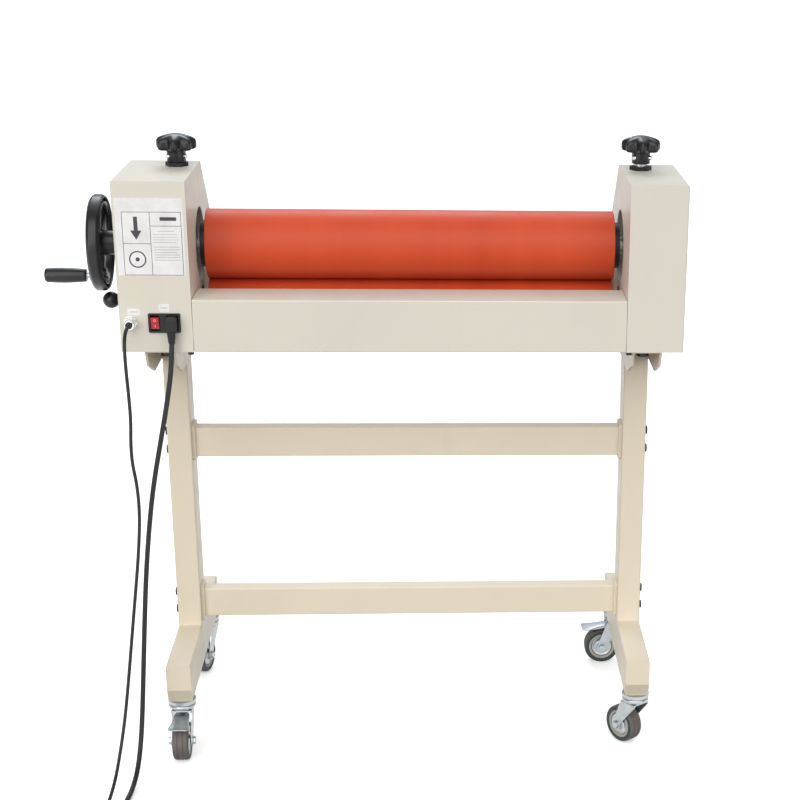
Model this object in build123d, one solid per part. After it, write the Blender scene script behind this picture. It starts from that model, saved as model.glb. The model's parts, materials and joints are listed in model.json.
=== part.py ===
from build123d import *
import math
import os

# Cold roll laminator on a castered stand, in millimetres.
# +X is the operator's right, +Y points away from the operator, +Z is up, and the floor is Z = 0.
# The machine is laid out with the cabinet fronts at Y = 0 and the rollers centred on X = 0.
# CENTRE then moves everything so that the object without its cords stands centred over the origin.
CENTRE = Vector(79, -167, 0)

# Cabinets and covers
CABINET_BOTTOM = 695
CABINET_TOP = 958
CABINET_TOP_DEPTH = 203
CABINET_DEPTH = 325
SLOPE_FOOT = 840
LEFT_OUTER = -449
RIGHT_OUTER = 429
INNER_FACE = 338
SHEET = 2
SIDE_PLATE = 12
BASE_PLATE = 5
COVER_TOP = 777
COVER_DEPTH = 82
SEAM = 0.8

# Rollers
ROLLER_Y = 152
ROLLER_LENGTH = 652
UPPER_RADIUS = 55
UPPER_Z = 835
LOWER_RADIUS = 37.5
NIP_GAP = 0.3
LOWER_Z = UPPER_Z - UPPER_RADIUS - NIP_GAP - LOWER_RADIUS
SLEEVE = 10
UPPER_JOURNAL = 15
LOWER_JOURNAL = 12.5
RUNNING = 0.05
LIFT = 15

# Bearing blocks and pressure screws
BLOCK_X = 368
BLOCK_WIDTH = 32
BLOCK_HALF = 34
BLOCK_TALL = 36
RAIL = 12
RAIL_LOW = 792
RAIL_HIGH = 945
SCREW_RADIUS = 10
SCREW_SEAT = 11
LEFT_HEAD = 983
RIGHT_HEAD = 987
HEAD_HEIGHT = 25
HEAD_RADIUS = 32
NECK_RADIUS = 15.5
NECK = 19
SCREW_GRIP = 8
GUIDE_NUT = 6
SET_SCREW_RADIUS = 3
SET_SCREW_DROP = 9
SET_SCREW_ANGLES = (-135, -25)

# Drive
MODULE = 2
GEAR_TEETH = 36
PINION_TEETH = 18
GEAR_X = -384
GEAR_WIDTH = 12

# Handwheel and clutch knob
WHEEL_X = -496
WHEEL_RADIUS = 76
WHEEL_WIDTH = 21
RIM = 15
GRIP_ORBIT = 53
GRIP_START = -521
GRIP_END = -587
GRIP_RADIUS = 12.5
GRIP_PIN = 5
BALL_X = -485
BALL_RADIUS = 13.5
CLUTCH_ROD = 5

# Mains inlet opening (left, right, low, high), its rocker's pivot (Y, Z) and the round socket (X, Z)
INLET = (-402, -358, 728.5, 754.5)
INLET_DEPTH = 30
FLANGE = 3
ROCKER_PIVOT = (6, 741.75)
SOCKET = (-431, 742.6)

# Stand
STAND_X = (-391, 372.5)
LEG_WIDTH = 40
LEG_DEPTH = 60
LEG_WALL = 2.5
STAND_Y = 186
FOOT_TOP = 168
FOOT_BOTTOM = 99
FOOT_HALF = 204
FOOT_CHAMFER = 25
WEB = 4
WEB_BOTTOM = CABINET_BOTTOM - WEB
BRACKET_HALF = 175
FLANGE_KNEE = 667
FLANGE_LOW = 644
BAR_HEIGHT = 50
BAR_DEPTH = 29
UPPER_BAR_TOP = 520
LOWER_BAR_TOP = 229
END_PLATE = 5
BAR_BOLT = 4
BAR_BOLT_OFFSET = 16
WEB_BOLT = 5
PLATE_SCREW = 3
PLATE_SCREW_X = 5
PLATE_SCREW_Y = (6, CABINET_DEPTH - 8)

# Casters
CASTER_REACH = 178
WHEEL_R = 32.5
TYRE_WIDTH = 26
TRAIL = 26
AXLE_R = 4
FORK_GAP = 15
FORK_SHEET = 2.5
KINGPIN_R = 6
CROWN = (80, 83)
RACE_TOP = 92.5
BRAKE_PIN = 2
BRAKE_PIVOT = (12, 73)
# name, index into STAND_X, side along Y, trailing direction in degrees, brake fitted
CASTERS = [
    ("front_left", 0, -1, -90, True),
    ("front_right", 1, -1, 128, False),
    ("rear_left", 0, 1, -105, False),
    ("rear_right", 1, 1, 180, True),
]

# Cords
POWER_RADIUS = 4
PEDAL_CABLE_RADIUS = 2.75
POWER_ROUTE = [
    (-369, -14, 712), (-370.5, -17, 687), (-374, -22, 655), (-383, -26, 607), (-395, -29, 551),
    (-408, -32, 490), (-419, -34, 420), (-429, -38, 335), (-437, -42, 240), (-443, -48, 160),
    (-447, -58, 98), (-450, -76, 52), (-453, -105, 20), (-457, -144, 6), (-462, -186, 4.2),
    (-465, -238, 4.2),
]
PEDAL_ROUTE = [
    (-431, -34, 742.6), (-431.5, -47, 741.5), (-432, -60, 735.5), (-432, -69.5, 724), (-431.5, -74, 706),
    (-431, -75, 680), (-430, -73, 645), (-430, -70, 605), (-433, -68, 568), (-433, -67, 535),
    (-428, -66, 500), (-427, -66, 450), (-433, -68, 385), (-443, -71, 310), (-453, -75, 235),
    (-462, -80, 165), (-470, -90, 105), (-477, -109, 60), (-482, -139, 27), (-487, -176, 8),
    (-491, -214, 3), (-493.5, -247, 3),
]
# Strain relief length, mains plug body (length, width, height) and foot switch
RELIEF = 20
PLUG = (40, 34, 24)
PLUG_PIN = 2.4
PLUG_PIN_OFFSET = 9.5
PLUG_PIN_LENGTH = 18
PEDAL_LENGTH = 110
PEDAL_WIDTH = 72
PEDAL_PIN = 2.5
PEDAL_PIVOT_Z = 27
# Put-away length, two layers deep: centre, middle radius of the turns and half the winding's width
POWER_COIL = (-414, -262, 45, 10.5)
PEDAL_COIL = (-532, -262, 30, 11)


def save(node, *solids):
    """Write one sub-part, moved from the machine's layout to the object's own origin."""
    placed = [Location(CENTRE) * solid for solid in solids]
    shape = placed[0] if len(placed) == 1 else Compound(children=placed)
    export_step(shape, f"parts/{node}.step")


def solids_of(shape):
    """The separate solids of a boolean result."""
    return list(shape.solids())


def block(x0, x1, y0, y1, z0, z1):
    """A box between two corners."""
    centre = Pos((x0 + x1) / 2, (y0 + y1) / 2, (z0 + z1) / 2)
    return centre * Box(abs(x1 - x0), abs(y1 - y0), abs(z1 - z0))


def rod(axis, radius, start, end, a, b):
    """A cylinder along one axis from start to end; a and b are its other two coordinates in order."""
    length = abs(end - start)
    middle = (start + end) / 2
    if axis == "X":
        return Pos(middle, a, b) * Rot(0, 90, 0) * Cylinder(radius, length)
    if axis == "Y":
        return Pos(a, middle, b) * Rot(90, 0, 0) * Cylinder(radius, length)
    return Pos(a, b, middle) * Cylinder(radius, length)


def along_x(outline, x0, x1):
    """Extrude a closed outline of (y, z) points from x0 to x1."""
    points = [Vector(x0, y, z) for y, z in outline]
    face = make_face(Polyline(*points, close=True))
    return extrude(face, amount=x1 - x0, dir=(1, 0, 0))


def hex_prism(across_flats, z0, z1, x, y):
    """An upright hexagonal prism."""
    shape = RegularPolygon(across_flats / 2, 6, major_radius=False)
    return Pos(x, y, z0) * extrude(shape, amount=z1 - z0)


def cabinet_outline(inset):
    """The cabinet's side profile, drawn in by the sheet thickness or not at all."""
    slope = math.atan2(CABINET_TOP - SLOPE_FOOT, CABINET_DEPTH - CABINET_TOP_DEPTH)
    top_turn = inset * math.tan(slope / 2)
    back_turn = inset * math.tan((math.pi / 2 - slope) / 2)
    return [
        (inset, CABINET_BOTTOM),
        (inset, CABINET_TOP - inset),
        (CABINET_TOP_DEPTH - top_turn, CABINET_TOP - inset),
        (CABINET_DEPTH - inset, SLOPE_FOOT - back_turn),
        (CABINET_DEPTH - inset, CABINET_BOTTOM),
    ]


def cabinet_shell(outer, inner):
    """A folded sheet housing, open below and towards the rollers, its upright outer corners rounded."""
    low, high = sorted((outer, inner))
    solid = along_x(cabinet_outline(0), low, high)
    corners = [e for e in solid.edges() if abs(e.center().X - outer) < 0.01]
    edges = [e for e in corners if e.center().Z > CABINET_BOTTOM + 1]
    solid = fillet(edges, 3)
    step = SHEET if inner > outer else -SHEET
    hollow = along_x(cabinet_outline(SHEET), *sorted((outer + step, inner)))
    return solid - hollow


def make_cabinets():
    """Two housings: the left one has the shaft slot and the hole of the clutch rod."""
    screw_hole = SCREW_RADIUS + 3
    left = cabinet_shell(LEFT_OUTER, -INNER_FACE)
    slot = UPPER_JOURNAL + 3
    left -= rod("X", slot, LEFT_OUTER - 2, LEFT_OUTER + 6, ROLLER_Y, UPPER_Z)
    left -= rod("X", slot, LEFT_OUTER - 2, LEFT_OUTER + 6, ROLLER_Y, UPPER_Z + LIFT)
    left -= block(LEFT_OUTER - 2, LEFT_OUTER + 6, ROLLER_Y - slot, ROLLER_Y + slot, UPPER_Z, UPPER_Z + LIFT)
    left -= rod("X", 6, LEFT_OUTER - 2, LEFT_OUTER + 6, ROLLER_Y, LOWER_Z)
    left -= rod("Z", screw_hole, CABINET_TOP - 5, CABINET_TOP + 5, -BLOCK_X, ROLLER_Y)
    left -= block(INLET[0], INLET[1], -1, SHEET + 1, INLET[2], INLET[3])
    left -= rod("Y", 8, -1, SHEET + 1, *SOCKET)
    save("left_cabinet_shell", left)
    right = cabinet_shell(RIGHT_OUTER, INNER_FACE)
    right -= rod("Z", screw_hole, CABINET_TOP - 5, CABINET_TOP + 5, BLOCK_X, ROLLER_Y)
    save("right_cabinet_shell", right)


def make_side_plates():
    """The thick inner plates that carry the rollers, with an opening at each roller end."""
    for side, name in ((-1, "left"), (1, "right")):
        faces = sorted((side * INNER_FACE, side * (INNER_FACE + SIDE_PLATE)))
        plate = along_x(cabinet_outline(SHEET), *faces)
        plate -= rod("X", 58, faces[0] - 1, faces[1] + 1, ROLLER_Y, UPPER_Z)
        plate -= rod("X", 26, faces[0] - 1, faces[1] + 1, ROLLER_Y, LOWER_Z)
        x = side * (INNER_FACE + PLATE_SCREW_X)
        for y in PLATE_SCREW_Y:
            plate -= rod("Z", PLATE_SCREW, CABINET_BOTTOM - 1, CABINET_BOTTOM + 15, x, y)
        save(f"{name}_side_plate", plate)


def make_base_plates():
    """The plates that close each cabinet below and take the stand's bolts."""
    plates = []
    spans = ((LEFT_OUTER + SHEET, -INNER_FACE - SIDE_PLATE), (INNER_FACE + SIDE_PLATE, RIGHT_OUTER - SHEET))
    top = CABINET_BOTTOM + BASE_PLATE
    for x0, x1 in spans:
        plates.append(block(x0, x1, SHEET, CABINET_DEPTH - SHEET, CABINET_BOTTOM, top))
    holes = [rod("Z", WEB_BOLT, CABINET_BOTTOM - 1, top + 1, x, y) for x, y in web_bolts()]
    plates = [plate - holes for plate in plates]
    save("base_plates", *[s for plate in plates for s in solids_of(plate)])


def folded_cover(outer_y, inward, depth):
    """A sheet cover between the cabinets: a face, a top that ends short of the lower roller, and two lips."""
    face_inner = outer_y + inward * SHEET
    back = outer_y + inward * depth
    outline = [
        (outer_y, CABINET_BOTTOM), (outer_y, COVER_TOP), (back, COVER_TOP), (back, COVER_TOP - 16),
        (back - inward * SHEET, COVER_TOP - 16), (back - inward * SHEET, COVER_TOP - SHEET),
        (face_inner, COVER_TOP - SHEET), (face_inner, CABINET_BOTTOM + SHEET),
        (outer_y + inward * 40, CABINET_BOTTOM + SHEET), (outer_y + inward * 40, CABINET_BOTTOM),
    ]
    cover = along_x(outline, SEAM - INNER_FACE, INNER_FACE - SEAM)
    fold = [e for e in cover.edges().filter_by(Axis.X) if abs(e.center().Y - outer_y) < 0.01]
    return fillet(fold, 1.8)


def make_covers():
    """The feed table in front of the nip and the matching cover behind it."""
    save("front_cover", folded_cover(0, 1, COVER_DEPTH))
    save("rear_cover", folded_cover(CABINET_DEPTH - SHEET, -1, COVER_DEPTH))


def make_guides():
    """Rails that guide the bearing blocks, and the threaded guide nuts on the cabinet tops."""
    rails = []
    for side in (-1, 1):
        x0 = side * (INNER_FACE + SIDE_PLATE)
        x1 = side * (BLOCK_X + BLOCK_WIDTH / 2)
        for edge in (-1, 1):
            y0 = ROLLER_Y + edge * (BLOCK_HALF + 0.3)
            rails.append(block(x0, x1, y0, y0 + edge * RAIL, RAIL_LOW, RAIL_HIGH))
    save("guide_rails", *rails)
    nuts = []
    for side in (-1, 1):
        nut = hex_prism(31, CABINET_TOP, CABINET_TOP + GUIDE_NUT, side * BLOCK_X, ROLLER_Y)
        collar = rod("Z", 12.9, CABINET_TOP - 8, CABINET_TOP, side * BLOCK_X, ROLLER_Y)
        bore = rod("Z", SCREW_RADIUS + RUNNING, CABINET_TOP - 9, CABINET_TOP + 9, side * BLOCK_X, ROLLER_Y)
        nuts.append(nut + collar - bore)
    save("guide_nuts", *nuts)


def make_bearings():
    """Sliding blocks for the upper roller, and fixed flanged bearings for the lower one."""
    blocks = []
    bearings = []
    for side in (-1, 1):
        x0, x1 = sorted((side * (BLOCK_X - BLOCK_WIDTH / 2), side * (BLOCK_X + BLOCK_WIDTH / 2)))
        body = block(x0 + 1, x1 - 1, ROLLER_Y - BLOCK_HALF, ROLLER_Y + BLOCK_HALF,
                     UPPER_Z - BLOCK_TALL, UPPER_Z + BLOCK_TALL)
        body -= rod("X", UPPER_JOURNAL + RUNNING, x0, x1, ROLLER_Y, UPPER_Z)
        seat_floor = UPPER_Z + BLOCK_TALL - SCREW_SEAT - 0.3
        body -= rod("Z", SCREW_RADIUS + RUNNING, seat_floor, UPPER_Z + BLOCK_TALL + 1, side * BLOCK_X, ROLLER_Y)
        blocks.append(body)
        face = side * (INNER_FACE + SIDE_PLATE)
        flange = rod("X", 36, face, face + side * 10, ROLLER_Y, LOWER_Z)
        flange += rod("X", 26, side * (INNER_FACE + 1), face, ROLLER_Y, LOWER_Z)
        flange -= rod("X", LOWER_JOURNAL + RUNNING, side * INNER_FACE, face + side * 11, ROLLER_Y, LOWER_Z)
        bearings.append(flange)
    save("bearing_blocks", *blocks)
    save("lower_bearings", *bearings)


def roller_sleeve(radius, z):
    """The silicone covering of a roller."""
    half = ROLLER_LENGTH / 2
    solid = rod("X", radius, -half, half, ROLLER_Y, z)
    solid = fillet(solid.edges(), 1.5)
    return solid - rod("X", radius - SLEEVE, -half - 1, half + 1, ROLLER_Y, z)


def make_rollers():
    """Each roller is a silicone sleeve on a hollow steel core with turned journals."""
    half = ROLLER_LENGTH / 2
    save("upper_roller_sleeve", roller_sleeve(UPPER_RADIUS, UPPER_Z))
    core = rod("X", UPPER_RADIUS - SLEEVE, -half, half, ROLLER_Y, UPPER_Z)
    core -= rod("X", UPPER_RADIUS - SLEEVE - 8, -half + 15, half - 15, ROLLER_Y, UPPER_Z)
    core += rod("X", UPPER_JOURNAL, WHEEL_X + 8, -half + 1, ROLLER_Y, UPPER_Z)
    core += rod("X", UPPER_JOURNAL, half - 1, BLOCK_X + 18, ROLLER_Y, UPPER_Z)
    save("upper_roller_core", core)
    collars = []
    for side in (-1, 1):
        collar = rod("X", 37, side * half, side * (half + 9), ROLLER_Y, UPPER_Z)
        bore = rod("X", UPPER_JOURNAL, side * (half - 1), side * (half + 10), ROLLER_Y, UPPER_Z)
        collars.append(collar - bore)
    save("roller_collars", *collars)
    save("lower_roller_sleeve", roller_sleeve(LOWER_RADIUS, LOWER_Z))
    core = rod("X", LOWER_RADIUS - SLEEVE, -half, half, ROLLER_Y, LOWER_Z)
    core -= rod("X", LOWER_RADIUS - SLEEVE - 7, -half + 15, half - 15, ROLLER_Y, LOWER_Z)
    core += rod("X", LOWER_JOURNAL, GEAR_X - 4, -half + 1, ROLLER_Y, LOWER_Z)
    core += rod("X", LOWER_JOURNAL, half - 1, INNER_FACE + SIDE_PLATE + 12, ROLLER_Y, LOWER_Z)
    core -= rod("X", 5.5, GEAR_X - 5, GEAR_X + 30, ROLLER_Y, LOWER_Z)
    save("lower_roller_core", core)


def spur_gear(teeth, bore, y, z, turn):
    """A spur gear with straight-flanked teeth, its first tooth turned from +Y by the given angle."""
    pitch = MODULE * teeth / 2
    root = pitch - 1.15 * MODULE
    tip = pitch + 0.75 * MODULE
    step = 2 * math.pi / teeth
    outline = []
    for tooth in range(teeth):
        middle = turn + tooth * step
        for radius, offset in ((root, -0.29), (tip, -0.13), (tip, 0.13), (root, 0.29)):
            angle = middle + offset * step
            outline.append((y + radius * math.cos(angle), z + radius * math.sin(angle)))
    gear = along_x(outline, GEAR_X, GEAR_X + GEAR_WIDTH)
    return gear - rod("X", bore, GEAR_X - 1, GEAR_X + GEAR_WIDTH + 1, y, z)


def make_drive():
    """A worm gearmotor whose pinion turns the gear on the lower roller's journal."""
    distance = MODULE * (GEAR_TEETH + PINION_TEETH) / 2
    motor_y = ROLLER_Y + distance
    save("lower_drive_gear", spur_gear(GEAR_TEETH, LOWER_JOURNAL, ROLLER_Y, LOWER_Z, 0))
    shaft_end = GEAR_X - 6
    pinion = spur_gear(PINION_TEETH, 5, motor_y, LOWER_Z, math.pi + math.pi / PINION_TEETH)
    shaft = rod("X", 5, shaft_end + 1, GEAR_X + GEAR_WIDTH, motor_y, LOWER_Z)
    save("motor_pinion", pinion, shaft)
    gearbox = block(shaft_end - 36, shaft_end, motor_y - 30, motor_y + 30, LOWER_Z - 30, LOWER_Z + 30)
    gearbox = fillet(gearbox.edges().filter_by(Axis.X), 5)
    motor = rod("Y", 16, motor_y + 30, motor_y + 104, shaft_end - 18, LOWER_Z)
    pedestal = block(shaft_end - 30, shaft_end - 6, motor_y - 26, motor_y + 26,
                     CABINET_BOTTOM + BASE_PLATE, LOWER_Z - 30)
    save("gearmotor", gearbox + motor, pedestal)


def knob_outline():
    """Seven rounded lobes round a disc."""
    lobe = 8.5
    outline = Circle(HEAD_RADIUS - lobe)
    for index in range(7):
        angle = 2 * math.pi * index / 7
        reach = HEAD_RADIUS - lobe
        outline += Pos(reach * math.cos(angle), reach * math.sin(angle)) * Circle(lobe)
    return outline


def star_knob(side, head):
    """A lobed knob with a domed cap and a plain neck that takes the screw."""
    x = side * BLOCK_X
    grip = extrude(knob_outline(), amount=HEAD_HEIGHT - 5)
    dome = Pos(0, 0, HEAD_HEIGHT - 2.5) * Cone(HEAD_RADIUS - 12, HEAD_RADIUS - 17, 5)
    neck = Pos(0, 0, -NECK) * extrude(Circle(NECK_RADIUS), amount=NECK)
    knob = Pos(x, ROLLER_Y, head) * (grip + dome + neck)
    knob -= rod("Z", SCREW_RADIUS, head - NECK - 1, head + SCREW_GRIP, x, ROLLER_Y)
    screws = []
    for angle in SET_SCREW_ANGLES:
        screw = rod("X", SET_SCREW_RADIUS, SCREW_RADIUS, NECK_RADIUS + 3, 0, 0)
        screws.append(Pos(x, ROLLER_Y, head - SET_SCREW_DROP) * Rot(0, 0, angle) * screw)
    return [knob - screws, *screws]


def make_knobs():
    """Each pressure screw passes its guide nut and is held in its bearing block."""
    seat = UPPER_Z + BLOCK_TALL - SCREW_SEAT
    for side, name, head in ((-1, "left", LEFT_HEAD), (1, "right", RIGHT_HEAD)):
        save(f"{name}_star_knob", *star_knob(side, head))
        screw = rod("Z", SCREW_RADIUS, seat, head + SCREW_GRIP, side * BLOCK_X, ROLLER_Y)
        save(f"{name}_pressure_screw", screw)


def make_handwheel():
    """A dished handwheel on the upper roller's shaft, with a turning grip."""
    z = UPPER_Z
    rim = rod("X", WHEEL_RADIUS, WHEEL_X - WHEEL_WIDTH / 2, WHEEL_X + WHEEL_WIDTH / 2, ROLLER_Y, z)
    rim -= rod("X", WHEEL_RADIUS - RIM, WHEEL_X - 20, WHEEL_X + 20, ROLLER_Y, z)
    rim = fillet(rim.edges().filter_by(GeomType.CIRCLE), 5)
    wheel = rim + rod("X", 20, WHEEL_X - 4, WHEEL_X + 26, ROLLER_Y, z)
    for index in range(3):
        arm = block(WHEEL_X - 4, WHEEL_X + 6, -11, 11, -WHEEL_RADIUS + 8, -14)
        wheel += Pos(0, ROLLER_Y, z) * Rot(120 * index, 0, 0) * arm
    wheel -= rod("X", UPPER_JOURNAL, WHEEL_X + 8, WHEEL_X + 30, ROLLER_Y, z)
    grip_z = z - GRIP_ORBIT
    wheel += rod("X", 13, WHEEL_X - 12, WHEEL_X + 6, ROLLER_Y, grip_z)
    wheel -= rod("X", GRIP_PIN, WHEEL_X - 30, WHEEL_X + 10, ROLLER_Y, grip_z)
    save("handwheel", wheel)
    bolt = rod("X", GRIP_PIN, GRIP_END + 8, WHEEL_X + 10, ROLLER_Y, grip_z)
    bolt += rod("X", 9, GRIP_START + 6, WHEEL_X - 12, ROLLER_Y, grip_z)
    save("grip_bolt", bolt)
    length = GRIP_START - GRIP_END
    wide = GRIP_RADIUS - 2.5
    narrow = GRIP_RADIUS - 4
    spine = Spline((0, wide), (length / 2, GRIP_RADIUS), (length, narrow))
    profile = make_face([spine, Polyline((length, narrow), (length, 0), (0, 0), (0, wide))])
    grip = revolve(profile, axis=Axis.X)
    grip = fillet(grip.edges().sort_by(Axis.X)[-1], 3)
    grip = Pos(GRIP_START, ROLLER_Y, grip_z) * Rot(0, 0, 180) * grip
    bore = rod("X", GRIP_PIN + RUNNING, GRIP_END + 7.5, GRIP_START + 1, ROLLER_Y, grip_z)
    save("handwheel_grip", grip - bore)


def make_clutch():
    """A ball knob on a rod that slides in the lower roller's hollow journal."""
    neck = 8
    neck_end = 17
    depth = 8
    start = math.sqrt(BALL_RADIUS ** 2 - neck ** 2)
    outline = [
        ThreePointArc((-BALL_RADIUS, 0), (0, BALL_RADIUS), (start, neck)),
        Polyline((start, neck), (neck_end, neck), (neck_end, CLUTCH_ROD), (depth, CLUTCH_ROD), (depth, 0),
                 (-BALL_RADIUS, 0)),
    ]
    ball = Pos(BALL_X, ROLLER_Y, LOWER_Z) * revolve(make_face(outline), axis=Axis.X)
    save("clutch_knob", ball, rod("X", CLUTCH_ROD, BALL_X + depth, GEAR_X + 14, ROLLER_Y, LOWER_Z))


def make_controls():
    """The mains inlet with its rocker, and the foot switch's round socket."""
    left, right, low, high = INLET
    housing = block(left - 2.5, right + 2.5, -FLANGE, 0, low - 2, high + 2)
    housing += block(left, right, 0, INLET_DEPTH, low, high)
    housing = fillet(housing.edges().filter_by(Axis.Y).filter_by(lambda e: e.center().Y < -1), 2)
    housing -= block(left + 0.5, left + 15, -FLANGE - 1, 12, low + 1, high - 0.5)
    housing -= block(right - 19, right - 1, -FLANGE - 1, 14, low + 1, high - 1)
    save("inlet_module", housing)
    x0 = left + 1.6
    x1 = left + 13.9
    y, z = ROCKER_PIVOT
    outline = [(-4.2, z), (-6, z + 9), (6, z + 9), (9, z), (6, z - 10), (-1.6, z - 10)]
    save("rocker", along_x(outline, x0, x1) + rod("X", 1.5, x0 - 1, x1 + 1, y, z))
    x, z = SOCKET
    ring = rod("Y", 10, -4, 0, x, z) + rod("Y", 8, 0, 16, x, z)
    save("foot_switch_socket", ring - rod("Y", 6.5, -5, 10, x, z))


def make_feet_and_legs():
    """Each side of the stand: a foot beam, a leg and a channel under the cabinet."""
    for x, name in zip(STAND_X, ("left", "right")):
        low = FOOT_BOTTOM
        reach = FOOT_HALF
        outline = [
            (STAND_Y - reach, FOOT_TOP), (STAND_Y - reach, low + FOOT_CHAMFER),
            (STAND_Y - reach + 12, low), (STAND_Y + reach - 12, low),
            (STAND_Y + reach, low + FOOT_CHAMFER), (STAND_Y + reach, FOOT_TOP),
        ]
        half = LEG_WIDTH / 2
        foot = along_x(outline, x - half, x + half)
        foot = fillet(foot.edges().filter_by(Axis.Y), 3)
        foot -= block(x - half + 3, x + half - 3, STAND_Y - reach + 16, STAND_Y + reach - 16,
                      low + 3, FOOT_TOP - 3)
        save(f"{name}_foot", foot)
        front = STAND_Y - LEG_DEPTH / 2
        back = STAND_Y + LEG_DEPTH / 2
        leg = block(x - half, x + half, front, back, FOOT_TOP, WEB_BOTTOM)
        leg = fillet(leg.edges().filter_by(Axis.Z), 3)
        leg -= block(x - half + LEG_WALL, x + half - LEG_WALL, front + LEG_WALL, back - LEG_WALL,
                     FOOT_TOP - 1, WEB_BOTTOM + 1)
        leg -= [rod("X", BAR_BOLT, x - half - 1, x + half + 1, STAND_Y, z) for z in bar_bolt_heights()]
        save(f"{name}_leg", leg)
        bracket = block(x - half - WEB, x + half + WEB, STAND_Y - BRACKET_HALF, STAND_Y + BRACKET_HALF,
                        WEB_BOTTOM, CABINET_BOTTOM)
        flange = [
            (STAND_Y - BRACKET_HALF, WEB_BOTTOM), (STAND_Y - BRACKET_HALF + 12, FLANGE_KNEE),
            (STAND_Y - BRACKET_HALF + 67, FLANGE_LOW), (STAND_Y + BRACKET_HALF - 67, FLANGE_LOW),
            (STAND_Y + BRACKET_HALF - 12, FLANGE_KNEE), (STAND_Y + BRACKET_HALF, WEB_BOTTOM),
        ]
        bracket += along_x(flange, x - half - WEB, x - half)
        bracket += along_x(flange, x + half, x + half + WEB)
        bracket -= [rod("Z", WEB_BOLT, WEB_BOTTOM - 1, CABINET_BOTTOM + 1, *spot) for spot in web_bolts()]
        save(f"{name}_top_bracket", bracket)


def bar_bolt_heights():
    """The two bolt heights of each crossbar."""
    heights = []
    for top in (UPPER_BAR_TOP, LOWER_BAR_TOP):
        middle = top - BAR_HEIGHT / 2
        heights += [middle - BAR_BOLT_OFFSET, middle + BAR_BOLT_OFFSET]
    return heights


def web_bolts():
    """Places of the bolts that hold the cabinets on the brackets."""
    return [(x, y) for x in (STAND_X[0] + 9, STAND_X[1] - 6) for y in (STAND_Y - 161, STAND_Y + 131)]


def make_crossbars():
    """Two rectangular tubes with welded end plates between the legs."""
    inner_left = STAND_X[0] + LEG_WIDTH / 2
    inner_right = STAND_X[1] - LEG_WIDTH / 2
    front = STAND_Y - BAR_DEPTH / 2
    back = STAND_Y + BAR_DEPTH / 2
    for name, top in (("upper", UPPER_BAR_TOP), ("lower", LOWER_BAR_TOP)):
        bottom = top - BAR_HEIGHT
        tube = block(inner_left + END_PLATE, inner_right - END_PLATE, front, back, bottom, top)
        tube = fillet(tube.edges().filter_by(Axis.X), 2)
        tube -= block(inner_left, inner_right, front + 2, back - 2, bottom + 2, top - 2)
        bar = tube
        for x0 in (inner_left, inner_right - END_PLATE):
            plate = block(x0, x0 + END_PLATE, STAND_Y - 20, STAND_Y + 20, bottom - 6, top + 6)
            plate = fillet(plate.edges().filter_by(Axis.X), 4)
            for z in bar_bolt_heights():
                plate -= rod("X", BAR_BOLT, x0 - 1, x0 + END_PLATE + 1, STAND_Y, z)
            bar += plate
        save(f"{name}_crossbar", bar)


def make_stand_bolts():
    """Black hexagon bolts: crossbars to legs, brackets to cabinets, and screws up into the side plates."""
    bolts = []
    for x, side in zip(STAND_X, (-1, 1)):
        outer = x + side * LEG_WIDTH / 2
        inner = x - side * (LEG_WIDTH / 2 + END_PLATE)
        for z in bar_bolt_heights():
            head = Pos(outer, STAND_Y, z) * Rot(0, 90 * side, 0) * extrude(
                RegularPolygon(6.5, 6, major_radius=False), amount=5.5)
            bolts.append(head + rod("X", BAR_BOLT, outer, inner, STAND_Y, z))
    for x, y in web_bolts():
        shank = rod("Z", WEB_BOLT, WEB_BOTTOM - 1, CABINET_BOTTOM + BASE_PLATE, x, y)
        bolts.append(hex_prism(17, WEB_BOTTOM - 7, WEB_BOTTOM, x, y) + shank)
    for side in (-1, 1):
        x = side * (INNER_FACE + PLATE_SCREW_X)
        for y in PLATE_SCREW_Y:
            shank = rod("Z", PLATE_SCREW, CABINET_BOTTOM - 1, CABINET_BOTTOM + 14, x, y)
            bolts.append(hex_prism(8, CABINET_BOTTOM - 5, CABINET_BOTTOM, x, y) + shank)
    save("stand_bolts", *bolts)


def caster_place(index, side):
    """The swivel axis of a caster."""
    return STAND_X[index], STAND_Y + side * CASTER_REACH


def make_casters():
    """Swivel casters: a fixed top disc and kingpin, a turning fork, a wheel, and a brake on two of them."""
    mounts = []
    for name, index, side, direction, brake in CASTERS:
        x, y = caster_place(index, side)
        place = Pos(x, y, 0) * Rot(0, 0, direction)
        mounts.append(rod("Z", 23, 93, FOOT_BOTTOM, x, y) + rod("Z", KINGPIN_R, 76, 93, x, y))
        save(f"caster_{name}_fork", *[place * part for part in caster_fork(brake)])
        save(f"caster_{name}_wheel", *[place * part for part in caster_wheel()])
        if brake:
            save(f"caster_{name}_brake", *[place * part for part in caster_brake()])
    save("caster_mounts", *mounts)


def fork_cheek(offset):
    """One side plate of a fork, tapering from the crown to the axle."""
    outline = [(-15, 81), (17, 81), (35, 36), (TRAIL + 5, 26), (TRAIL - 7, 26)]
    points = [Vector(u, offset, z) for u, z in outline]
    return extrude(make_face(Polyline(*points, close=True)), amount=FORK_SHEET, dir=(0, 1, 0))


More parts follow.
